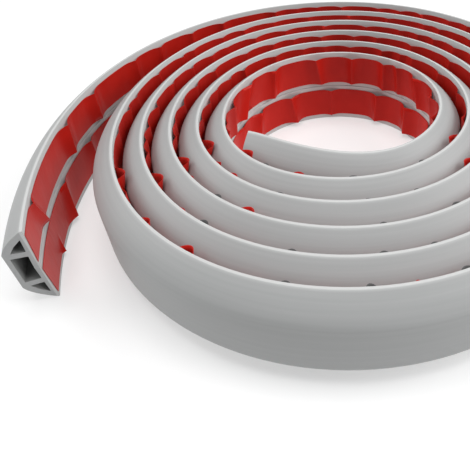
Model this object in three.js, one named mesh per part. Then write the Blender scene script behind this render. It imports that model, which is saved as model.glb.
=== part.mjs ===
// Soft floor cord cover with three channels, stored as a coil on its edge.
// Millimetres, +Z up. The strip's width stands upright, its crown faces out of
// the coil and its taped base faces the coil's middle.
import * as THREE from 'three';

// Section of the cover, across its width and up from its base
const COVER_WIDTH = 32;
const COVER_HEIGHT = 8.6;
const CROWN_WIDTH = 15.8;
const LIP_HEIGHT = 0.9;
const BASE_HOLLOW = 0.8;

// Points of the rounded flank, in from the lip and down from the crown
const FOOT_IN = 1.7;
const FOOT_DROP = 5.5;
const FLANK_IN = 4.0;
const FLANK_DROP = 2.8;
const SHOULDER_IN = 6.3;
const SHOULDER_DROP = 0.8;

// Walls round the three channels
const CROWN_WALL = 1.5;
const BASE_WALL = 1.6;
const WEB_WALL = 2.1;
const MIDDLE_ROOF_WIDTH = 11.5;
const MIDDLE_FLOOR_WIDTH = 10.8;
const SIDE_TIP_IN = 3.2;
const SIDE_ROOF_DROP = 2.3;
const SIDE_BULGE = 0.35;

// Adhesive tapes under their release liner
const TAPE_WIDTH = 12.2;
const TAPE_FROM_LIP = 2.0;
const TAPE_THICKNESS = 0.3;
const TAPE_SEAT_GAP = 0.05;
const TAPE_END_SETBACK = 0.01;

// Coil, measured to the base of the strip
const INNER_RADIUS = 31.7;
const TURN_GAP = 1.75;
const COIL_START = 0.42;
const COIL_TURNS = 5.7;
const COIL_OVAL = 4.2;
const OVAL_FULL_AT = 6;
const STEPS_PER_TURN = 30;

// The inner end presses the turns outside it out a little
const BULGE = 2.4;
const BULGE_ANGLE = 223;
const BULGE_SPREAD = 41;
const BULGE_FADE_TURNS = 2;

// Straighter inner end, which lies against the next turn
const INNER_END_X = -32.3;
const INNER_END_Y = -19.8;
const INNER_END_ANGLE = -17.1;
const INNER_END_REACH = 10.7;
const INNER_JOIN_REACH = 37.1;
const INNER_STEPS = 10;

// Free tail, which leaves the coil behind and ends at the front left
const TAIL_END_TURNS = 6.103;
const TAIL_SPREAD = 19.1;
const TAIL_SPLAY = 11;
const TAIL_LEAVE_REACH = 78;
const TAIL_END_REACH = 124;
const TAIL_CUT_SLANT = 6;
const TAIL_STEPS = 14;

const FULL_TURN = 2 * Math.PI;
const TURN_PITCH = COVER_HEIGHT + TAPE_THICKNESS + TAPE_SEAT_GAP + TURN_GAP;
const COIL_STEPS = Math.round((COIL_TURNS - COIL_START) * STEPS_PER_TURN);
const STEPS = INNER_STEPS + COIL_STEPS + TAIL_STEPS;
const HALF_WIDTH = COVER_WIDTH / 2;
const { degToRad } = THREE.MathUtils;

// How far the turns are pressed out at a place along the coil
function bulgeAt(turns) {
  const firstCrest = degToRad(BULGE_ANGLE) / FULL_TURN - 0.5;
  const crest = Math.round(turns - firstCrest);
  if (crest < 1) {
    return 0;
  }
  const aside = (turns - firstCrest - crest) * FULL_TURN / degToRad(BULGE_SPREAD);
  return BULGE * Math.exp(-aside * aside) * Math.exp(-(crest - 1) / BULGE_FADE_TURNS);
}

// Plan of the coil: the turns start at the left and run forwards, rightwards and back
function spiralPoint(turns, spread = 0) {
  const angle = Math.PI + turns * FULL_TURN;
  const oval = COIL_OVAL * (turns / OVAL_FULL_AT) * Math.cos(2 * angle);
  const radius = INNER_RADIUS + TURN_PITCH * turns - oval + bulgeAt(turns) + spread;
  return new THREE.Vector3(radius * Math.cos(angle), radius * Math.sin(angle), 0);
}

function spiralDirection(turns) {
  const reach = 1e-4;
  return spiralPoint(turns + reach).sub(spiralPoint(turns - reach)).normalize();
}

const innerEnd = new THREE.Vector3(INNER_END_X, INNER_END_Y, 0);
const innerAngle = degToRad(INNER_END_ANGLE);
const innerDirection = new THREE.Vector3(Math.cos(innerAngle), Math.sin(innerAngle), 0);
const joinPoint = spiralPoint(COIL_START);
const innerStretch = new THREE.CubicBezierCurve3(
  innerEnd,
  innerEnd.clone().addScaledVector(innerDirection, INNER_END_REACH),
  joinPoint.clone().addScaledVector(spiralDirection(COIL_START), -INNER_JOIN_REACH),
  joinPoint,
);

const leavePoint = spiralPoint(COIL_TURNS);
const tailEnd = spiralPoint(TAIL_END_TURNS, TAIL_SPREAD);
const upAxis = new THREE.Vector3(0, 0, 1);
const tailDirection = spiralDirection(TAIL_END_TURNS).applyAxisAngle(upAxis, -degToRad(TAIL_SPLAY));
const tail = new THREE.CubicBezierCurve3(
  leavePoint,
  leavePoint.clone().addScaledVector(spiralDirection(COIL_TURNS), TAIL_LEAVE_REACH),
  tailEnd.clone().addScaledVector(tailDirection, -TAIL_END_REACH),
  tailEnd,
);

function curveStation(curve, share) {
  return { point: curve.getPointAt(share), direction: curve.getTangentAt(share) };
}

// Point and direction of travel at each step of the whole length
function station(step) {
  if (step < INNER_STEPS) {
    return curveStation(innerStretch, step / INNER_STEPS);
  }
  const coilStep = step - INNER_STEPS;
  if (coilStep > COIL_STEPS) {
    return curveStation(tail, (coilStep - COIL_STEPS) / TAIL_STEPS);
  }
  const turns = COIL_START + (coilStep / COIL_STEPS) * (COIL_TURNS - COIL_START);
  return { point: spiralPoint(turns), direction: spiralDirection(turns) };
}

const stations = Array.from({ length: STEPS + 1 }, (_, step) => station(step));

// The tail was cut a little off square, so the top of its cut end leads
function cutLead(step, height) {
  return step === STEPS ? (height - HALF_WIDTH) * Math.tan(degToRad(TAIL_CUT_SLANT)) : 0;
}

// Bends a straight extrusion, one unit long per step, along the coil.
// Section x becomes the height above the floor, section y the way out of the coil.
function bendAlongCoil(geometry) {
  const position = geometry.attributes.position;
  for (let i = 0; i < position.count; i += 1) {
    const step = Math.round(position.getZ(i));
    const { point, direction } = stations[step];
    const height = position.getX(i);
    const out = position.getY(i);
    const along = position.getZ(i) - step + cutLead(step, height);
    const x = point.x + direction.y * out + direction.x * along;
    const y = point.y - direction.x * out + direction.y * along;
    position.setXYZ(i, x, y, height);
  }
  geometry.computeVertexNormals();
  return geometry;
}

function extrudeLength(section) {
  return new THREE.ExtrudeGeometry(section, {
    depth: STEPS,
    steps: STEPS,
    bevelEnabled: false,
    curveSegments: 1,
  });
}

// A line of points on one side of the section and the same line mirrored
function bothSides(points) {
  const mirrored = points.map(([x, y]) => [COVER_WIDTH - x, y]).reverse();
  return [...points, ...mirrored];
}

function toVectors(points) {
  return points.map(([x, y]) => new THREE.Vector2(x, y));
}

// Each half of the base rises a little towards the middle
function baseHeight(x) {
  return BASE_HOLLOW * (1 - Math.abs(x - HALF_WIDTH) / HALF_WIDTH);
}

const outline = bothSides([
  [0, 0],
  [0, LIP_HEIGHT],
  [FOOT_IN, COVER_HEIGHT - FOOT_DROP],
  [FLANK_IN, COVER_HEIGHT - FLANK_DROP],
  [SHOULDER_IN, COVER_HEIGHT - SHOULDER_DROP],
  [HALF_WIDTH - CROWN_WIDTH / 2, COVER_HEIGHT],
]);
outline.push([HALF_WIDTH, BASE_HOLLOW]);
outline.reverse();

const middleRoofIn = HALF_WIDTH - MIDDLE_ROOF_WIDTH / 2;
const middleFloorIn = HALF_WIDTH - MIDDLE_FLOOR_WIDTH / 2;
const middleChannel = bothSides([
  [middleFloorIn, baseHeight(middleFloorIn) + BASE_WALL],
  [middleRoofIn, COVER_HEIGHT - CROWN_WALL],
]);
middleChannel.push([HALF_WIDTH, BASE_HOLLOW + BASE_WALL]);

// A side channel is a triangle whose long side bulges out under the flank
const sideTip = new THREE.Vector2(SIDE_TIP_IN, baseHeight(SIDE_TIP_IN) + BASE_WALL);
const sideRoof = new THREE.Vector2(middleRoofIn - WEB_WALL, COVER_HEIGHT - SIDE_ROOF_DROP);
const sideFloorIn = middleFloorIn - WEB_WALL;
const longSide = sideRoof.clone().sub(sideTip).normalize();
const sideBulge = sideTip.clone().lerp(sideRoof, 0.5);
sideBulge.add(new THREE.Vector2(-longSide.y, longSide.x).multiplyScalar(SIDE_BULGE));
const sideChannel = [
  sideTip.toArray(),
  sideBulge.toArray(),
  sideRoof.toArray(),
  [sideFloorIn, baseHeight(sideFloorIn) + BASE_WALL],
];
const farSideChannel = sideChannel.map(([x, y]) => [COVER_WIDTH - x, y]);

const coverSection = new THREE.Shape(toVectors(outline));
for (const channel of [sideChannel, middleChannel, farSideChannel]) {
  coverSection.holes.push(new THREE.Path(toVectors(channel)));
}

// Each tape lies on its own half of the shallow hollow in the base
function tapeSection(firstEdge) {
  const secondEdge = firstEdge + TAPE_WIDTH;
  const firstSeat = baseHeight(firstEdge) - TAPE_SEAT_GAP;
  const secondSeat = baseHeight(secondEdge) - TAPE_SEAT_GAP;
  return new THREE.Shape(toVectors([
    [firstEdge, firstSeat],
    [secondEdge, secondSeat],
    [secondEdge, secondSeat - TAPE_THICKNESS],
    [firstEdge, firstSeat - TAPE_THICKNESS],
  ]));
}

const lowerTapeEdge = TAPE_FROM_LIP;
const upperTapeEdge = COVER_WIDTH - TAPE_FROM_LIP - TAPE_WIDTH;

// The tapes are cut just short of the cover's own cut ends
function setBackEnds(geometry) {
  const position = geometry.attributes.position;
  for (let i = 0; i < position.count; i += 1) {
    if (position.getZ(i) < TAPE_END_SETBACK) {
      position.setZ(i, TAPE_END_SETBACK);
    } else if (position.getZ(i) > STEPS - TAPE_END_SETBACK) {
      position.setZ(i, STEPS - TAPE_END_SETBACK);
    }
  }
  return geometry;
}

const pvc = new THREE.MeshStandardMaterial({ color: 0xb9bab8, roughness: 0.55 });
const liner = new THREE.MeshStandardMaterial({ color: 0xb8201b, roughness: 0.3 });

const pieces = [
  ['cover_strip', extrudeLength(coverSection), pvc],
  ['upper_tape', setBackEnds(extrudeLength(tapeSection(upperTapeEdge))), liner],
  ['lower_tape', setBackEnds(extrudeLength(tapeSection(lowerTapeEdge))), liner],
];

const group = new THREE.Group();
for (const [name, geometry, material] of pieces) {
  const mesh = new THREE.Mesh(bendAlongCoil(geometry), material);
  mesh.name = name;
  group.add(mesh);
}

// The origin is the middle of the coil's footprint, on the floor
const footprint = new THREE.Box3().setFromObject(group);
const middle = footprint.getCenter(new THREE.Vector3());
for (const mesh of group.children) {
  mesh.geometry.translate(-middle.x, -middle.y, 0);
}

export default group;
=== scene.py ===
# Looks for a coiled floor cord cover and its lined adhesive tapes.
# Metres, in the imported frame: +Z up, the coil stands on its edge on the floor.
import math
import random
from collections import namedtuple

import bmesh
import bpy
import numpy as np
from mathutils import Matrix, Vector
from mathutils.geometry import tessellate_polygon


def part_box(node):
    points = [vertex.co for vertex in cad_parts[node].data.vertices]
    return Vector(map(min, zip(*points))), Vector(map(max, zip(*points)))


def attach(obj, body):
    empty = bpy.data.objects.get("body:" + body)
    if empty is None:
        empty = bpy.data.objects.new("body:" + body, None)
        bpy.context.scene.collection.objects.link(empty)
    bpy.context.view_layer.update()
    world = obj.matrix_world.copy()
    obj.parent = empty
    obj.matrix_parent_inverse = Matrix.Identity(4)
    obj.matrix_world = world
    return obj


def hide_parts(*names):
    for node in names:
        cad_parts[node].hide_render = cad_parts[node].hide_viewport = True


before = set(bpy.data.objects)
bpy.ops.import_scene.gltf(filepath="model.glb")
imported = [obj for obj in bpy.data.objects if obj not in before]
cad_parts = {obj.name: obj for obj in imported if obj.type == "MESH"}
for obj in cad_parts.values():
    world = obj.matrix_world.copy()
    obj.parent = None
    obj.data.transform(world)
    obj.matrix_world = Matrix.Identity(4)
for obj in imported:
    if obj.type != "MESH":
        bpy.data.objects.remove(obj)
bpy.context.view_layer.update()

MM = 0.001

# The cover's section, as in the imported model
COVER_WIDTH = 32 * MM
COVER_HEIGHT = 8.6 * MM
CROWN_WIDTH = 15.8 * MM
LIP_HEIGHT = 0.9 * MM
LIP_ROUND = 0.2 * MM
BASE_HOLLOW = 0.8 * MM
FLANK_FOOT_PULL = (1.6 * MM, 3.4 * MM)
FLANK_CROWN_PULL = (5.0 * MM, 7.7 * MM)
HALF_WIDTH = COVER_WIDTH / 2

# Walls round its three channels
CROWN_WALL = 1.5 * MM
BASE_WALL = 1.6 * MM
WEB_WALL = 2.1 * MM
MIDDLE_ROOF_WIDTH = 11.5 * MM
MIDDLE_FLOOR_WIDTH = 10.8 * MM
SIDE_TIP_IN = 3.2 * MM
SIDE_ROOF_DROP = 2.3 * MM
SIDE_BULGE = 0.35 * MM
CHANNEL_ROUND = 0.35 * MM
CORNER_SHARE = 0.45
BASE_SEAM_WIDTH = 0.36 * MM
BASE_SEAM_DEPTH = 0.25 * MM

# Painted light: how far in from each edge the lip gets a painted highlight and how much,
# and how far out the base is painted paler as painted light in full and not at all
LIP_HIGHLIGHT_REACH = 0.6 * MM
LIP_HIGHLIGHT_STRENGTH = 0.45
BASE_PAINTED_LIGHT_REACH = (0.85 * MM, 1.1 * MM)

# The tapes on its base, and the film on them: how far its back lies off the base
# and its ends stay behind the cuts
TAPE_WIDTH = 12.2 * MM
TAPE_FROM_LIP = 2.0 * MM
FILM_THICKNESS = 0.14 * MM
FILM_SEAT = 0.12 * MM
FILM_SETBACK = 0.3 * MM

# The coil's plan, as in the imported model, measured to the strip's base
INNER_RADIUS = 31.7 * MM
TURN_PITCH = 10.7 * MM
COIL_START = 0.42
COIL_TURNS = 5.7
COIL_OVAL = 4.2 * MM
OVAL_FULL_AT = 6
BULGE = 2.4 * MM
BULGE_ANGLE = math.radians(223)
BULGE_SPREAD = math.radians(41)
BULGE_FADE_TURNS = 2
INNER_END = (-32.3 * MM, -19.8 * MM)
INNER_END_ANGLE = math.radians(-17.1)
INNER_END_REACH = 10.7 * MM
INNER_JOIN_REACH = 37.1 * MM
TAIL_END_TURNS = 6.103
TAIL_SPREAD = 19.1 * MM
TAIL_SPLAY = math.radians(11)
TAIL_LEAVE_REACH = 78 * MM
TAIL_END_REACH = 124 * MM
TAIL_CUT_SLANT = math.radians(6)
TAIL_OVERRUN = 4 * MM

# A turn lies inside another where it is at least this far back along the strip, and
# where none does the film has open room
NEXT_TURN_FROM = 120 * MM
OPEN_ROOM = 12 * MM

# Folds of the release film. A crease has a sharp crest and a blister a round one;
# a mouth is a blister whose back, over the rim in front of it, is painted dark as painted shade.
Fold = namedtuple("Fold", "place low high half_width slant lean kind", defaults=(0.0, 0.0, "crease"))

# Folds where the film can be seen best, in millimetres: place along the strip, height
# at the film's lower and upper edge, half width, slant and lean. Those on the inner
# wall are placed from the inner end, those on the tail from its cut.
UPPER_INNER_FOLDS = (
    (80, 2.0, 2.4, 6.0, 0.1, 0.0),
    (95, 2.2, 3.0, 6.5, 0.2, 0.0),
    (111, 2.6, 2.6, 6.5, 0.35, 0.1),
    (124, 1.2, 1.6, 4.0, 0.1, 0.0),
    (131, 2.6, 2.4, 5.5, 0.0, -0.1),
    (146, 2.2, 2.2, 5.5, 0.0, 0.0),
    (161, 2.0, 2.4, 6.0, 0.2, 0.1),
    (183, 2.8, 2.2, 6.0, -0.15, 0.1),
    (201, 2.8, 1.8, 6.0, -0.6, 0.0),
    (216, 2.4, 2.6, 6.0, 0.0, 0.0),
)
LOWER_INNER_FOLDS = (
    (98, 2.6, 2.2, 6.0, 0.0, 0.0),
    (117, 3.0, 2.6, 6.5, 0.1, 0.1),
    (134, 3.2, 2.4, 6.0, 0.0, -0.1),
    (155.5, 1.4, 1.8, 5.0, 0.0, 0.0),
    (174, 3.2, 2.2, 6.5, 0.15, 0.0),
    (194, 2.4, 2.4, 5.5, -0.3, 0.0),
)
UPPER_TAIL_FOLDS = (
    (193, 1.2, 2.0, 6.0, 0.0, 0.1),
    (165.5, 1.4, 2.0, 6.5, 0.1, 0.2),
    (147.5, 1.4, 2.0, 6.0, 0.0, 0.1),
    (128.5, 1.6, 2.1, 6.0, 0.0, -0.1),
    (113.5, 1.3, 1.7, 5.5, 0.1, 0.0),
    (83.5, 2.1, 2.3, 6.5, 0.1, 0.3),
    (59.5, 2.2, 2.2, 6.5, 0.0, 0.3),
    (17, 2.2, 1.2, 4.0, 0.5, 0.3),
)
LOWER_TAIL_FOLDS = (
    (196, 1.6, 1.6, 6.0, 0.0, 0.0),
    (172, 1.8, 1.6, 6.0, 0.1, 0.0),
    (148, 1.4, 1.8, 6.0, 0.0, 0.1),
    (121, 1.7, 1.5, 6.0, 0.0, 0.1),
    (96, 1.5, 1.4, 6.0, 0.1, 0.0),
    (72, 1.3, 1.4, 6.0, 0.0, 0.0),
    (42, 2.5, 0.9, 5.5, -0.48, -0.3),
    (24, 1.3, -2.0, 2.4, -0.5, 0.2),
)

# Where the upper film rises over the front rims, in millimetres: place from the inner
# end, height at the film's lower and upper edge and half width
RIM_BLISTERS = (
    (250, 0.5, 3.8, 3.2),
    (273, 0.5, 3.2, 3.2),
    (336, 0.5, 2.9, 2.8),
    (545.5, 0.6, 3.9, 3.6),
    (567.5, 0.4, 2.1, 2.6),
    (656, 0.6, 3.2, 3.0),
    (925.5, 0.6, 3.5, 3.2),
    (962.5, 0.5, 3.2, 3.2),
    (1371.5, 0.6, 3.3, 3.3),
    (1871, 0.6, 2.8, 3.4),
    (1899, 0.4, 2.0, 2.0),
    (1918.5, 0.5, 3.2, 3.0),
)
RIM_MOUTHS = (
    (260, 0.3, 2.4, 2.6),
    (291.5, 0.3, 2.9, 3.2),
    (317, 0.3, 2.4, 2.2),
    (586.5, 0.3, 2.3, 2.4),
    (615, 0.3, 2.4, 2.4),
    (631.5, 0.3, 2.2, 2.4),
    (950, 0.3, 2.2, 2.2),
    (1005, 0.3, 2.5, 2.0),
    (1029.5, 0.3, 2.3, 2.4),
    (1401, 0.3, 2.3, 2.4),
    (1431, 0.3, 2.4, 2.3),
    (1457, 0.3, 2.4, 2.2),
    (1472, 0.3, 2.1, 2.2),
    (1950, 0.3, 2.1, 2.0),
    (1972.5, 0.3, 2.5, 2.1),
    (1999.5, 0.3, 2.2, 2.6),
)

# Folds between the turns, by rule
FOLD_SPACING = (7 * MM, 21 * MM)
FOLD_HALF_WIDTH = (4.5 * MM, 7.5 * MM)
FOLD_EDGE_HEIGHT = (0.7 * MM, 2.1 * MM)
FOLD_SLANT = (-0.3, 0.3)
FOLD_LEAN = (-0.2, 0.2)
FOLD_SEED = 7

# How a fold falls away from its crest, how soon a mouth's painted shade is full, and the film's room
CREASE_POWER = 2.0
BLISTER_POWER = 0.8
MOUTH_SHADE = 3
FILM_CLEARANCE = 0.25 * MM

# Fineness of the coil's path and of the visible surface
SPIRAL_POINTS = 4000
TAIL_POINTS = 600
INNER_POINTS = 200
PATH_STEP = 1.0 * MM
ROOM_EVERY = 4
COVER_STEP = 3.5 * MM
FLANK_POINTS = 14
FLANK_CURVE_POINTS = 40
CORNER_POINTS = 4
COVER_SHARP_ANGLE = math.radians(40)
MERGE_WITHIN = 0.001 * MM
FILM_STEP = 2.5 * MM
FILM_ACROSS = 8
FILM_SHARP_ANGLE = math.radians(85)

# Rows of the film at a fold, in shares of its half width
CREASE_ROWS = (-1.0, -0.75, -0.55, -0.38, -0.24, -0.12, -0.03, 0.03, 0.12, 0.24, 0.38, 0.55, 0.75, 1.0)
ROUND_ROWS = (-1.0, -0.96, -0.88, -0.76, -0.6, -0.4, -0.2, 0.0, 0.2, 0.4, 0.6, 0.76, 0.88, 0.96, 1.0)

# Camera, from the photograph
FRAME_PIXELS = 470
FOCAL_PIXELS = 551.2
CENTRE_PIXEL = (321.9, 215.1)
CAMERA_FROM_COIL = (0.0, -183.2 * MM, 138.2 * MM)
CAMERA_YAW = math.radians(-2.7)
CAMERA_PITCH = math.radians(-41.8)
CAMERA_ROLL = math.radians(-2.05)
SENSOR_WIDTH = 36.0
CLIP_START = 10 * MM

# Colours, as linear red, green and blue
GREY_DARK = (0.330, 0.337, 0.337)
GREY_LIGHT = (0.397, 0.403, 0.402)
# Painted highlight for the lips and painted light for the base
GREY_PAINTED_LIGHT = (0.54, 0.545, 0.54)
# Painted shade for the channel walls
GREY_CHANNEL_SHADE = (0.32, 0.324, 0.32)
RED_DARK = (0.42, 0.009, 0.005)
RED_LIGHT = (0.56, 0.017, 0.010)
# Painted shade for the blister mouths over the rims
PAINTED_MOUTH_SHADE = (0.12, 0.12, 0.12)
FLOOR_GREY = (0.50, 0.50, 0.50)
WHITE = (1.0, 1.0, 1.0)

# The floor and the studio round it
FLOOR_REACH = 6.0
FLOOR_GLOW = 0.45
STUDIO_LIGHT = 0.10
BACKDROP_LIGHT = 0.85
LAMP_AIM = Vector((0, 0, 0))


# Plan of the coil

def bulge_at(turns):
    """How far the inner end presses the turns outside it out."""
    first_crest = BULGE_ANGLE / (2 * math.pi) - 0.5
    crest = round(turns - first_crest)
    if crest < 1:
        return 0.0
    aside = (turns - first_crest - crest) * 2 * math.pi / BULGE_SPREAD
    return BULGE * math.exp(-aside * aside) * math.exp(-(crest - 1) / BULGE_FADE_TURNS)


def spiral_point(turns, spread=0.0):
    angle = math.pi + turns * 2 * math.pi
    oval = COIL_OVAL * (turns / OVAL_FULL_AT) * math.cos(2 * angle)
    radius = INNER_RADIUS + TURN_PITCH * turns - oval + bulge_at(turns) + spread
    return np.array((radius * math.cos(angle), radius * math.sin(angle)))


def spiral_direction(turns):
    reach = 1e-4
    step = spiral_point(turns + reach) - spiral_point(turns - reach)
    return step / np.linalg.norm(step)


def bezier(start, pull_start, pull_end, end, count):
    share = np.linspace(0.0, 1.0, count)[:, None]
    rest = 1.0 - share
    return (rest ** 3 * np.array(start) + 3 * rest ** 2 * share * np.array(pull_start)
            + 3 * rest * share ** 2 * np.array(pull_end) + share ** 3 * np.array(end))


def inner_stretch(count):
    """The straighter inner end, from its cut to the first turn."""
    start = np.array(INNER_END)
    heading = np.array((math.cos(INNER_END_ANGLE), math.sin(INNER_END_ANGLE)))
    join = spiral_point(COIL_START)
    pull_in = join - INNER_JOIN_REACH * spiral_direction(COIL_START)
    return bezier(start, start + INNER_END_REACH * heading, pull_in, join, count)


def free_tail(count):
    """The free tail, from the outer turn to a little past its cut end."""
    start = spiral_point(COIL_TURNS)
    end = spiral_point(TAIL_END_TURNS, TAIL_SPREAD)
    along = spiral_direction(TAIL_END_TURNS)
    turned = math.atan2(along[1], along[0]) - TAIL_SPLAY
    heading = np.array((math.cos(turned), math.sin(turned)))
    pull_out = start + TAIL_LEAVE_REACH * spiral_direction(COIL_TURNS)
    curve = bezier(start, pull_out, end - TAIL_END_REACH * heading, end, count)
    return curve, end + TAIL_OVERRUN * heading


def coil_path():
    """Evenly spaced points along the strip's base, and the strip's length.
    The points run on a little past the cut end, which leans over."""
    wound = np.array([spiral_point(turns) for turns
                      in np.linspace(COIL_START, COIL_TURNS, SPIRAL_POINTS)])
    tail, overrun = free_tail(TAIL_POINTS)
    inner = inner_stretch(INNER_POINTS)
    rough = np.concatenate((inner[:-1], wound[:-1], tail, overrun[None, :]))
    gaps = np.linalg.norm(np.diff(rough, axis=0), axis=1)
    along = np.concatenate(([0.0], np.cumsum(gaps)))
    even = np.linspace(0.0, along[-1], int(round(along[-1] / PATH_STEP)) + 1)
    plan = np.column_stack((np.interp(even, along, rough[:, 0]),
                            np.interp(even, along, rough[:, 1])))
    return plan, along[-1] - TAIL_OVERRUN


def way_out(plan):
    """The direction out of the coil at each point of the plan."""
    step = np.gradient(plan, axis=0)
    step /= np.linalg.norm(step, axis=1)[:, None]
    return np.column_stack((step[:, 1], -step[:, 0]))


def coil_centre(plan):
    """Where the coil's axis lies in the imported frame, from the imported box."""
    low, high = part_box("cover_strip")
    reach = np.concatenate((plan, plan + COVER_HEIGHT * way_out(plan)))
    middle = (reach.min(axis=0) + reach.max(axis=0)) / 2
    packed = np.array(((low[0] + high[0]) / 2, (low[1] + high[1]) / 2))
    return packed - middle


def room_inside(plan):
    """Gap from the strip's base to the crown of the turn inside it, along the strip."""
    base = plan[::ROOM_EVERY]
    crown = (plan + COVER_HEIGHT * way_out(plan))[::ROOM_EVERY]
    runs = np.arange(len(base)) * ROOM_EVERY * PATH_STEP
    apart = np.linalg.norm(base[:, None, :] - crown[None, :, :], axis=2)
    apart[runs[None, :] > runs[:, None] - NEXT_TURN_FROM] = OPEN_ROOM
    return runs, np.minimum(apart.min(axis=1), OPEN_ROOM)


def mesh_object(name, points, faces, edges=()):
    mesh = bpy.data.meshes.new(name)
    mesh.from_pydata([tuple(p) for p in points], list(edges), faces)
    mesh.update()
    piece = bpy.data.objects.new(name, mesh)
    bpy.context.scene.collection.objects.link(piece)
    return piece


# Geometry nodes that lay a straight length along the coil

def named_socket(tree, name, kind, default=None, output=False):
    side = "OUTPUT" if output else "INPUT"
    socket = tree.interface.new_socket(name=name, in_out=side, socket_type=kind)
    if default is not None:
        socket.default_value = default
    return socket


def coil_laying_tree():
    """Takes a straight length, x its height, y its way out and z its run, and
    lays it along the path."""
    tree = bpy.data.node_groups.new("lay_along_coil", "GeometryNodeTree")
    named_socket(tree, "Geometry", "NodeSocketGeometry", output=True)
    named_socket(tree, "Geometry", "NodeSocketGeometry")
    named_socket(tree, "Coil Path", "NodeSocketObject")
    named_socket(tree, "Finish", "NodeSocketMaterial")
    nodes, links = tree.nodes, tree.links
    entry = nodes.new("NodeGroupInput")
    result = nodes.new("NodeGroupOutput")
    path = nodes.new("GeometryNodeObjectInfo")
    as_curve = nodes.new("GeometryNodeMeshToCurve")
    sample = nodes.new("GeometryNodeSampleCurve")
    sample.mode = "LENGTH"
    sample.use_all_curves = True
    place = nodes.new("GeometryNodeInputPosition")
    parts = nodes.new("ShaderNodeSeparateXYZ")
    links.new(entry.outputs["Coil Path"], path.inputs["Object"])
    links.new(path.outputs["Geometry"], as_curve.inputs["Mesh"])
    links.new(as_curve.outputs["Curve"], sample.inputs["Curves"])
    links.new(place.outputs["Position"], parts.inputs["Vector"])
    links.new(parts.outputs["Z"], sample.inputs["Length"])

    # The way out of the coil is the run turned a quarter turn about Z
    outward = nodes.new("ShaderNodeVectorMath")
    outward.operation = "CROSS_PRODUCT"
    outward.inputs[1].default_value = (0.0, 0.0, 1.0)
    links.new(sample.outputs["Tangent"], outward.inputs[0])
    stretch = nodes.new("ShaderNodeVectorMath")
    stretch.operation = "SCALE"
    links.new(outward.outputs["Vector"], stretch.inputs[0])
    links.new(parts.outputs["Y"], stretch.inputs["Scale"])
    rise = nodes.new("ShaderNodeCombineXYZ")
    links.new(parts.outputs["X"], rise.inputs["Z"])
    on_path = nodes.new("ShaderNodeVectorMath")
    on_path.operation = "ADD"
    raised = nodes.new("ShaderNodeVectorMath")
    raised.operation = "ADD"
    links.new(sample.outputs["Position"], on_path.inputs[0])
    links.new(stretch.outputs["Vector"], on_path.inputs[1])
    links.new(on_path.outputs["Vector"], raised.inputs[0])
    links.new(rise.outputs["Vector"], raised.inputs[1])

    # The straight place is kept for the finishes, which follow the strip
    keep = nodes.new("GeometryNodeStoreNamedAttribute")
    keep.data_type = "FLOAT_VECTOR"
    keep.domain = "POINT"
    keep.inputs["Name"].default_value = "strip_place"
    lay = nodes.new("GeometryNodeSetPosition")
    smooth = nodes.new("GeometryNodeSetShadeSmooth")
    real = nodes.new("GeometryNodeRealizeInstances")
    finish = nodes.new("GeometryNodeSetMaterial")
    links.new(entry.outputs["Geometry"], keep.inputs["Geometry"])
    links.new(place.outputs["Position"], keep.inputs["Value"])
    links.new(keep.outputs["Geometry"], lay.inputs["Geometry"])
    links.new(raised.outputs["Vector"], lay.inputs["Position"])
    links.new(lay.outputs["Geometry"], smooth.inputs["Geometry"])
    links.new(smooth.outputs["Geometry"], real.inputs["Geometry"])
    links.new(real.outputs["Geometry"], finish.inputs["Geometry"])
    links.new(entry.outputs["Finish"], finish.inputs["Material"])
    links.new(finish.outputs["Geometry"], result.inputs["Geometry"])
    return tree


def lay_along_coil(name, straight, tree, path, finish):
    """Runs the tree on a straight length and returns the result as plain mesh."""
    modifier = straight.modifiers.new("lay", "NODES")
    modifier.node_group = tree
    wanted = {"Coil Path": path, "Finish": finish}
    for item in tree.interface.items_tree:
        if item.in_out == "INPUT" and item.name in wanted:
            modifier[item.identifier] = wanted[item.name]
    bpy.context.view_layer.update()
    evaluated = straight.evaluated_get(bpy.context.evaluated_depsgraph_get())
    mesh = bpy.data.meshes.new_from_object(evaluated)
    mesh.name = name
    straight.modifiers.remove(modifier)
    bpy.data.objects.remove(straight)
    piece = bpy.data.objects.new(name, mesh)
    bpy.context.scene.collection.objects.link(piece)
    return piece


# Section of the cover

def rounded(corners, radius):
    """A closed polygon with each corner turned into a short arc, which takes up at
    most a set share of a short side."""
    points = []
    corners = [np.array(c, dtype=float) for c in corners]
    for i, corner in enumerate(corners):
        before = corners[i - 1] - corner
        after = corners[(i + 1) % len(corners)] - corner
        reach = min(radius, CORNER_SHARE * np.linalg.norm(before),
                    CORNER_SHARE * np.linalg.norm(after))
        start = corner + before / np.linalg.norm(before) * reach
        end = corner + after / np.linalg.norm(after) * reach
        for share in np.linspace(0.0, 1.0, CORNER_POINTS):
            points.append((1 - share) ** 2 * start + 2 * share * (1 - share) * corner
                          + share ** 2 * end)
    return np.array(points)


def flank(foot, count):
    """The sloping flank, from its foot on the lip to the crown."""
    return bezier((0.0, foot), FLANK_FOOT_PULL, FLANK_CROWN_PULL,
                  (HALF_WIDTH - CROWN_WIDTH / 2, COVER_HEIGHT), count)


def flank_out(height):
    """How far out the flank lies at a height above the strip's lower edge."""
    curve = flank(LIP_HEIGHT, FLANK_CURVE_POINTS)
    from_edge = np.minimum(height, COVER_WIDTH - height)
    return np.interp(from_edge, curve[:, 0], curve[:, 1])


def base_out(height):
    """How far out the shallow hollow of the base lies at a height."""
    return BASE_HOLLOW * (1 - np.abs(height - HALF_WIDTH) / HALF_WIDTH)


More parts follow.
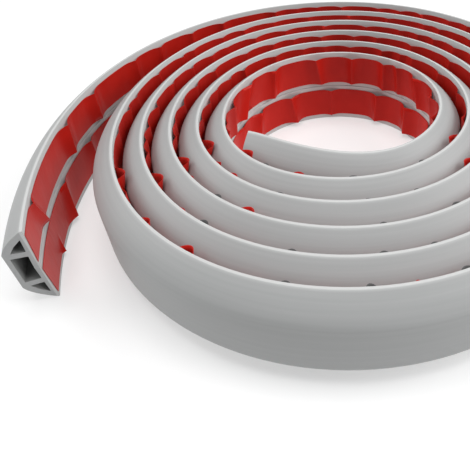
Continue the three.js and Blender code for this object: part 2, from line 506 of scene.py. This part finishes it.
def cover_outline():
    """The outside of the section: lower lip, flanks and crown, upper lip and base."""
    round_middle = 0.3 * LIP_ROUND
    lip = np.array(((LIP_ROUND, 0.0), (round_middle, round_middle), (0.0, LIP_ROUND)))
    near = np.concatenate((lip, flank(LIP_HEIGHT - LIP_ROUND, FLANK_POINTS)))
    far = near[::-1] * (-1, 1) + (COVER_WIDTH, 0)
    seam = BASE_SEAM_WIDTH / 2
    base = np.array(((HALF_WIDTH + seam, base_out(HALF_WIDTH + seam)),
                     (HALF_WIDTH, BASE_HOLLOW + BASE_SEAM_DEPTH),
                     (HALF_WIDTH - seam, base_out(HALF_WIDTH - seam))))
    return np.concatenate((near, far, base))


def channel_outlines():
    """The three channels: the lower side one, the middle one and the upper side one."""
    roof_in = HALF_WIDTH - MIDDLE_ROOF_WIDTH / 2
    floor_in = HALF_WIDTH - MIDDLE_FLOOR_WIDTH / 2
    floor = base_out(floor_in) + BASE_WALL
    roof = COVER_HEIGHT - CROWN_WALL
    middle = np.array(((floor_in, floor), (roof_in, roof), (COVER_WIDTH - roof_in, roof),
                       (COVER_WIDTH - floor_in, floor), (HALF_WIDTH, BASE_HOLLOW + BASE_WALL)))
    tip = np.array((SIDE_TIP_IN, base_out(SIDE_TIP_IN) + BASE_WALL))
    top = np.array((roof_in - WEB_WALL, COVER_HEIGHT - SIDE_ROOF_DROP))
    foot_in = floor_in - WEB_WALL
    slope = (top - tip) / np.linalg.norm(top - tip)
    bulge = (tip + top) / 2 + SIDE_BULGE * np.array((-slope[1], slope[0]))
    side = np.array((tip, bulge, top, (foot_in, base_out(foot_in) + BASE_WALL)))
    far_side = (side * (-1, 1) + (COVER_WIDTH, 0))[::-1]
    return [rounded(corners, CHANNEL_ROUND) for corners in (side, middle, far_side)]


def cut_lead(heights):
    """How far the leaning cut of the tail runs ahead of or behind its middle."""
    return (heights - HALF_WIDTH) * math.tan(TAIL_CUT_SLANT)


def straight_cover(length):
    """The cover before it is coiled: every ring of its section, and two cut ends."""
    loops = [cover_outline()] + channel_outlines()
    count = int(round(length / COVER_STEP))
    runs = np.linspace(0.0, length, count + 1)
    ring = np.concatenate(loops)
    size = len(ring)
    points = np.concatenate([np.column_stack((ring, np.full(size, run))) for run in runs])
    points[-size:, 2] += cut_lead(ring[:, 0])
    faces = []
    first = 0
    for loop in loops:
        span = len(loop)
        for row in range(count):
            low = row * size + first
            high = low + size
            for i in range(span):
                j = (i + 1) % span
                faces.append((low + i, low + j, high + j, high + i))
        first += span
    section = [[Vector((p[0], p[1], 0.0)) for p in loop] for loop in loops]
    last = count * size
    for a, b, c in tessellate_polygon(section):
        faces.append((a, b, c))
        faces.append((last + a, last + b, last + c))
    cover = mesh_object("cover_straight", points, faces)
    # The faces come in order: the outside, the channels' walls, the two cut ends
    in_channel = cover.data.attributes.new("in_channel", "FLOAT", "FACE")
    outside = count * len(loops[0])
    walls = count * size
    in_channel.data.foreach_set("value", [float(outside <= i < walls) for i in range(len(faces))])
    return cover


def close_and_turn_out(piece):
    """Merges doubles and makes every face point out."""
    work = bmesh.new()
    work.from_mesh(piece.data)
    bmesh.ops.remove_doubles(work, verts=work.verts, dist=MERGE_WITHIN)
    bmesh.ops.recalc_face_normals(work, faces=work.faces)
    work.to_mesh(piece.data)
    work.free()


# The red release film

def in_metres(folds, from_end=None):
    """Folds given in millimetres, from the inner end or back from the given length."""
    placed = []
    for place, low, high, half_width, *rest in folds:
        run = place * MM if from_end is None else from_end - place * MM
        placed.append(Fold(run, low * MM, high * MM, half_width * MM, *rest))
    return placed


def wound_folds(start, stop, kept, chance):
    """Folds by rule between two places, clear of those that are kept."""
    folds = list(kept)
    place = start + chance.uniform(*FOLD_SPACING)
    while place < stop:
        half_width = chance.uniform(*FOLD_HALF_WIDTH)
        fold = Fold(place, chance.uniform(*FOLD_EDGE_HEIGHT), chance.uniform(*FOLD_EDGE_HEIGHT),
                    half_width, chance.uniform(*FOLD_SLANT), chance.uniform(*FOLD_LEAN))
        if all(abs(place - other.place) > half_width + other.half_width for other in kept):
            folds.append(fold)
        place += chance.uniform(*FOLD_SPACING)
    return sorted(folds)


def film_rows(folds, length):
    """Rows across the film: close together at the folds, wider between them."""
    rows = list(np.arange(FILM_SETBACK, length - FILM_SETBACK, FILM_STEP))
    rows = [row for row in rows if all(abs(row - fold.place) > fold.half_width for fold in folds)]
    for fold in folds:
        shares = CREASE_ROWS if fold.kind == "crease" else ROUND_ROWS
        rows += [fold.place + share * fold.half_width for share in shares]
    rows.append(length - FILM_SETBACK)
    return np.array(sorted(row for row in rows if row <= length - FILM_SETBACK))


def film_face(first_edge, length, folds, room):
    """The film's surface before it is coiled: heights, ways out and runs of its grid,
    and where it is a mouth."""
    rows = film_rows(folds, length)
    across = np.linspace(-TAPE_WIDTH / 2, TAPE_WIDTH / 2, FILM_ACROSS + 1)
    row, aside = np.meshgrid(rows, across, indexing="ij")
    heights = first_edge + TAPE_WIDTH / 2 + aside
    lift = np.zeros_like(row)
    lean = np.zeros_like(row)
    mouth = np.zeros_like(row)
    for fold in folds:
        off = np.clip(np.abs(row - fold.place) / fold.half_width, 0, 1)
        if fold.kind == "crease":
            near = (1 - off) ** CREASE_POWER
        else:
            near = (1 - off ** 2) ** BLISTER_POWER
        edge_height = fold.low + (fold.high - fold.low) * (aside / TAPE_WIDTH + 0.5)
        raised = near * np.maximum(edge_height, 0)
        lift = np.maximum(lift, raised)
        lean += raised * fold.lean
        if fold.kind == "mouth":
            mouth = np.maximum(mouth, np.minimum(1, MOUTH_SHADE * near))
    free = np.interp(row, *room) - FILM_CLEARANCE + COVER_HEIGHT - flank_out(heights)
    lift = np.minimum(lift, free)

    # Rows slant with their folds and, past the last one, come round to the leaning cut
    places = [0.0] + [fold.place for fold in folds] + [length]
    slants = [0.0] + [fold.slant for fold in folds] + [math.tan(TAIL_CUT_SLANT)]
    shift = np.interp(row, places, slants) * aside
    last = folds[-1].place
    shift += np.clip((row - last) / (length - last), 0, 1) * cut_lead(first_edge + TAPE_WIDTH / 2)
    out = base_out(heights) - FILM_SEAT - lift
    return heights, out, row + shift + lean, mouth


def straight_film(name, first_edge, length, folds, room):
    """The film before it is coiled: its face, its back and the edge between them."""
    heights, out, runs, mouth = film_face(first_edge, length, folds, room)
    face = np.column_stack((heights.ravel(), (out - FILM_THICKNESS).ravel(), runs.ravel()))
    back = np.column_stack((heights.ravel(), out.ravel(), runs.ravel()))
    points = np.concatenate((face, back))
    width = FILM_ACROSS + 1
    count = len(heights) - 1
    layer = len(face)
    faces = []
    for row in range(count):
        for column in range(FILM_ACROSS):
            a = row * width + column
            faces.append((a, a + 1, a + 1 + width, a + width))
            faces.append((layer + a, layer + a + width, layer + a + 1 + width, layer + a + 1))
    rim = [row * width for row in range(count + 1)]
    rim += [count * width + column for column in range(1, width)]
    rim += [row * width + width - 1 for row in range(count - 1, -1, -1)]
    rim += [column for column in range(width - 2, 0, -1)]
    for i, a in enumerate(rim):
        b = rim[(i + 1) % len(rim)]
        faces.append((a, b, layer + b, layer + a))
    film = mesh_object(name, points, faces)
    # A mouth gets painted shade on the film's back, and on its upper edge on the face side
    mouth_painted_shade = film.data.attributes.new("mouth_painted_shade", "FLOAT", "POINT")
    upper_edge = np.zeros_like(mouth)
    upper_edge[:, -1] = mouth[:, -1]
    mouth_painted_shade.data.foreach_set("value", np.concatenate((upper_edge.ravel(), mouth.ravel())))
    return film


# Finishes

def streak_group():
    """Two uneven masks that follow the strip: marks with one scale across it and
    another along it, and a mottle."""
    group = bpy.data.node_groups.new("run_streaks", "ShaderNodeTree")
    named_socket(group, "Across Scale", "NodeSocketFloat", 1500.0)
    named_socket(group, "Run Scale", "NodeSocketFloat", 14.0)
    named_socket(group, "Mottle Scale", "NodeSocketFloat", 260.0)
    named_socket(group, "Streak", "NodeSocketFloat", output=True)
    named_socket(group, "Mottle", "NodeSocketFloat", output=True)
    nodes, links = group.nodes, group.links
    entry = nodes.new("NodeGroupInput")
    result = nodes.new("NodeGroupOutput")
    place = nodes.new("ShaderNodeAttribute")
    place.attribute_name = "strip_place"
    parts = nodes.new("ShaderNodeSeparateXYZ")
    links.new(place.outputs["Vector"], parts.inputs[0])
    across = nodes.new("ShaderNodeMath")
    across.operation = "MULTIPLY"
    out = nodes.new("ShaderNodeMath")
    out.operation = "MULTIPLY"
    run = nodes.new("ShaderNodeMath")
    run.operation = "MULTIPLY"
    links.new(parts.outputs["X"], across.inputs[0])
    links.new(entry.outputs["Across Scale"], across.inputs[1])
    links.new(parts.outputs["Y"], out.inputs[0])
    links.new(entry.outputs["Across Scale"], out.inputs[1])
    links.new(parts.outputs["Z"], run.inputs[0])
    links.new(entry.outputs["Run Scale"], run.inputs[1])
    drawn = nodes.new("ShaderNodeCombineXYZ")
    links.new(across.outputs[0], drawn.inputs["X"])
    links.new(out.outputs[0], drawn.inputs["Y"])
    links.new(run.outputs[0], drawn.inputs["Z"])
    streak = nodes.new("ShaderNodeTexNoise")
    streak.inputs["Scale"].default_value = 1.0
    streak.inputs["Detail"].default_value = 3.0
    links.new(drawn.outputs[0], streak.inputs["Vector"])
    mottle = nodes.new("ShaderNodeTexNoise")
    mottle.inputs["Detail"].default_value = 4.0
    links.new(place.outputs["Vector"], mottle.inputs["Vector"])
    links.new(entry.outputs["Mottle Scale"], mottle.inputs["Scale"])
    links.new(streak.outputs["Fac"], result.inputs["Streak"])
    links.new(mottle.outputs["Fac"], result.inputs["Mottle"])
    return group


def mixed_colour(nodes, links, factor, dark, light):
    """A colour that shifts from dark to light with the factor."""
    mix = nodes.new("ShaderNodeMix")
    mix.data_type = "RGBA"
    mix.inputs["A"].default_value = (*dark, 1.0)
    mix.inputs["B"].default_value = (*light, 1.0)
    links.new(factor, mix.inputs["Factor"])
    return mix.outputs["Result"]


def changed_colour(nodes, links, factor, colour, other):
    """A linked colour that gives way to another where the factor rises."""
    mix = nodes.new("ShaderNodeMix")
    mix.data_type = "RGBA"
    mix.inputs["B"].default_value = (*other, 1.0)
    links.new(colour, mix.inputs["A"])
    links.new(factor, mix.inputs["Factor"])
    return mix.outputs["Result"]


def ranged(nodes, links, value, low, high):
    """A value from 0 to 1, spread from low to high."""
    span = nodes.new("ShaderNodeMapRange")
    span.inputs["To Min"].default_value = low
    span.inputs["To Max"].default_value = high
    links.new(value, span.inputs["Value"])
    return span.outputs["Result"]


def soft_pvc(streaks):
    material = bpy.data.materials.new("soft_grey_pvc")
    material.use_nodes = True
    nodes, links = material.node_tree.nodes, material.node_tree.links
    shader = nodes["Principled BSDF"]
    marks = nodes.new("ShaderNodeGroup")
    marks.node_tree = streaks
    marks.inputs["Across Scale"].default_value = 800.0
    colour = mixed_colour(nodes, links, marks.outputs["Streak"], GREY_DARK, GREY_LIGHT)

    # The thin lips get a painted highlight and the base painted light: both are painted paler than the
    # rest
    place = nodes.new("ShaderNodeAttribute")
    place.attribute_name = "strip_place"
    parts = nodes.new("ShaderNodeSeparateXYZ")
    links.new(place.outputs["Vector"], parts.inputs[0])
    off_middle = nodes.new("ShaderNodeMath")
    off_middle.operation = "SUBTRACT"
    off_middle.inputs[1].default_value = HALF_WIDTH
    links.new(parts.outputs["X"], off_middle.inputs[0])
    from_middle = nodes.new("ShaderNodeMath")
    from_middle.operation = "ABSOLUTE"
    links.new(off_middle.outputs[0], from_middle.inputs[0])
    lip_highlight = nodes.new("ShaderNodeMapRange")
    lip_highlight.inputs["From Min"].default_value = HALF_WIDTH - LIP_HIGHLIGHT_REACH
    lip_highlight.inputs["From Max"].default_value = HALF_WIDTH
    lip_highlight.inputs["To Max"].default_value = LIP_HIGHLIGHT_STRENGTH
    links.new(from_middle.outputs[0], lip_highlight.inputs["Value"])
    # Painted light on the base faces
    base = nodes.new("ShaderNodeMapRange")
    base.inputs["From Min"].default_value = BASE_PAINTED_LIGHT_REACH[1]
    base.inputs["From Max"].default_value = BASE_PAINTED_LIGHT_REACH[0]
    links.new(parts.outputs["Y"], base.inputs["Value"])
    painted_light_mask = nodes.new("ShaderNodeMath")
    painted_light_mask.operation = "MAXIMUM"
    links.new(lip_highlight.outputs["Result"], painted_light_mask.inputs[0])
    links.new(base.outputs["Result"], painted_light_mask.inputs[1])
    with_painted_light = changed_colour(nodes, links, painted_light_mask.outputs[0], colour, GREY_PAINTED_LIGHT)

    # The walls of the channels are painted darker: painted shade for their dim inside
    inside = nodes.new("ShaderNodeAttribute")
    inside.attribute_name = "in_channel"
    shaded = changed_colour(nodes, links, inside.outputs["Fac"], with_painted_light, GREY_CHANNEL_SHADE)
    links.new(shaded, shader.inputs["Base Color"])
    links.new(ranged(nodes, links, marks.outputs["Streak"], 0.42, 0.58), shader.inputs["Roughness"])
    shader.inputs["Specular IOR Level"].default_value = 0.4
    bump = nodes.new("ShaderNodeBump")
    bump.inputs["Strength"].default_value = 0.10
    bump.inputs["Distance"].default_value = 0.0002
    links.new(marks.outputs["Streak"], bump.inputs["Height"])
    links.new(bump.outputs["Normal"], shader.inputs["Normal"])
    return material


def red_film(streaks):
    material = bpy.data.materials.new("red_release_film")
    material.use_nodes = True
    nodes, links = material.node_tree.nodes, material.node_tree.links
    shader = nodes["Principled BSDF"]
    marks = nodes.new("ShaderNodeGroup")
    marks.node_tree = streaks
    # Broad soft waves rather than fine streaks
    marks.inputs["Across Scale"].default_value = 50.0
    marks.inputs["Run Scale"].default_value = 130.0
    marks.inputs["Mottle Scale"].default_value = 120.0
    red = mixed_colour(nodes, links, marks.outputs["Mottle"], RED_DARK, RED_LIGHT)
    # Painted shade on the mouths
    back = nodes.new("ShaderNodeAttribute")
    back.attribute_name = "mouth_painted_shade"
    with_mouth_shade = changed_colour(nodes, links, back.outputs["Fac"], red, PAINTED_MOUTH_SHADE)
    links.new(with_mouth_shade, shader.inputs["Base Color"])
    links.new(ranged(nodes, links, marks.outputs["Streak"], 0.30, 0.42), shader.inputs["Roughness"])
    shader.inputs["Specular IOR Level"].default_value = 0.14
    bump = nodes.new("ShaderNodeBump")
    bump.inputs["Strength"].default_value = 0.2
    bump.inputs["Distance"].default_value = 0.0012
    links.new(marks.outputs["Streak"], bump.inputs["Height"])
    links.new(bump.outputs["Normal"], shader.inputs["Normal"])
    return material


def pale_floor_finish():
    material = bpy.data.materials.new("pale_floor")
    material.use_nodes = True
    shader = material.node_tree.nodes["Principled BSDF"]
    shader.inputs["Base Color"].default_value = (*FLOOR_GREY, 1.0)
    shader.inputs["Roughness"].default_value = 0.9
    shader.inputs["Emission Color"].default_value = (*WHITE, 1.0)
    shader.inputs["Emission Strength"].default_value = FLOOR_GLOW
    return material


# Camera, floor and light

def make_camera(centre):
    look = Vector((math.sin(CAMERA_YAW) * math.cos(CAMERA_PITCH),
                   math.cos(CAMERA_YAW) * math.cos(CAMERA_PITCH), math.sin(CAMERA_PITCH)))
    level_right = look.cross(Vector((0, 0, 1))).normalized()
    level_up = level_right.cross(look)
    right = math.cos(CAMERA_ROLL) * level_right + math.sin(CAMERA_ROLL) * level_up
    up = math.cos(CAMERA_ROLL) * level_up - math.sin(CAMERA_ROLL) * level_right
    lens = bpy.data.cameras.new("camera")
    lens.sensor_width = SENSOR_WIDTH
    lens.lens = SENSOR_WIDTH * FOCAL_PIXELS / FRAME_PIXELS
    lens.shift_x = (FRAME_PIXELS / 2 - CENTRE_PIXEL[0]) / FRAME_PIXELS
    lens.shift_y = (CENTRE_PIXEL[1] - FRAME_PIXELS / 2) / FRAME_PIXELS
    lens.clip_start = CLIP_START
    camera = bpy.data.objects.new("camera", lens)
    turned = Matrix((right, up, -look)).transposed().to_4x4()
    place = Vector((centre[0], centre[1], 0)) + Vector(CAMERA_FROM_COIL)
    camera.matrix_world = Matrix.Translation(place) @ turned
    bpy.context.scene.collection.objects.link(camera)
    bpy.context.scene.camera = camera


def make_floor(reach):
    corners = ((-reach, -reach, 0), (reach, -reach, 0), (reach, reach, 0), (-reach, reach, 0))
    floor = mesh_object("floor", corners, [(0, 1, 2, 3)])
    floor.data.materials.append(pale_floor_finish())


def add_area_light(name, place, size, power):
    """A round lamp that faces the coil."""
    light = bpy.data.lights.new(name, "AREA")
    light.shape = "DISK"
    light.size = size
    light.energy = power
    lamp = bpy.data.objects.new(name, light)
    direction = LAMP_AIM - Vector(place)
    lamp.matrix_world = (Matrix.Translation(Vector(place))
                         @ direction.to_track_quat("-Z", "Y").to_matrix().to_4x4())
    bpy.context.scene.collection.objects.link(lamp)


def light_studio():
    world = bpy.data.worlds.new("studio")
    bpy.context.scene.world = world
    world.use_nodes = True
    background = world.node_tree.nodes["Background"]
    background.inputs["Color"].default_value = (*WHITE, 1.0)
    # Dim as a light, pale where a low view sees past the floor
    nodes, links = world.node_tree.nodes, world.node_tree.links
    ray = nodes.new("ShaderNodeLightPath")
    strength = ranged(nodes, links, ray.outputs["Is Camera Ray"], STUDIO_LIGHT, BACKDROP_LIGHT)
    links.new(strength, background.inputs["Strength"])
    add_area_light("overhead_light", (0.0, 0.0, 1.1), 0.8, 8)
    add_area_light("front_light", (-0.25, -1.1, 0.75), 0.7, 1.3)
    add_area_light("left_light", (-0.9, 0.2, 0.6), 0.8, 5.2)
    add_area_light("right_light", (0.85, -0.05, 0.6), 0.8, 8)
    bpy.context.scene.view_settings.view_transform = "Standard"


# The scene, camera first

plan, strip_length = coil_path()
centre = coil_centre(plan)
make_camera(centre)

path_points = np.column_stack((plan + centre, np.zeros(len(plan))))
coil_line = mesh_object("coil_line", path_points, [], [(i, i + 1) for i in range(len(plan) - 1)])
laying = coil_laying_tree()
streaks = streak_group()
grey = soft_pvc(streaks)
red = red_film(streaks)

straight = straight_cover(strip_length)
close_and_turn_out(straight)
cover = lay_along_coil("coiled_cover", straight, laying, coil_line, grey)
cover.data.set_sharp_from_angle(angle=COVER_SHARP_ANGLE)
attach(cover, "root")
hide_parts("cover_strip")

chance = random.Random(FOLD_SEED)
room = room_inside(plan)
rim_folds = in_metres([(*size, 0.0, 0.0, "blister") for size in RIM_BLISTERS]
                      + [(*size, 0.0, 0.0, "mouth") for size in RIM_MOUTHS])
films = (("upper_release_film", "upper_tape", COVER_WIDTH - TAPE_FROM_LIP - TAPE_WIDTH,
          UPPER_INNER_FOLDS, rim_folds, UPPER_TAIL_FOLDS),
         ("lower_release_film", "lower_tape", TAPE_FROM_LIP,
          LOWER_INNER_FOLDS, [], LOWER_TAIL_FOLDS))
for name, node, edge, inner_folds, between_folds, tail_folds in films:
    inner = in_metres(inner_folds)
    tail = in_metres(tail_folds, strip_length)
    wound = wound_folds(inner[-1].place, tail[0].place, between_folds, chance)
    hidden = wound_folds(0.0, inner[0].place - inner[0].half_width, [], chance)
    folds = hidden + inner + wound + tail
    flat = straight_film(name + "_flat", edge, strip_length, folds, room)
    close_and_turn_out(flat)
    film = lay_along_coil(name, flat, laying, coil_line, red)
    film.data.set_sharp_from_angle(angle=FILM_SHARP_ANGLE)
    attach(film, "root")
    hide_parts(node)

bpy.data.objects.remove(coil_line)
make_floor(FLOOR_REACH)
light_studio()
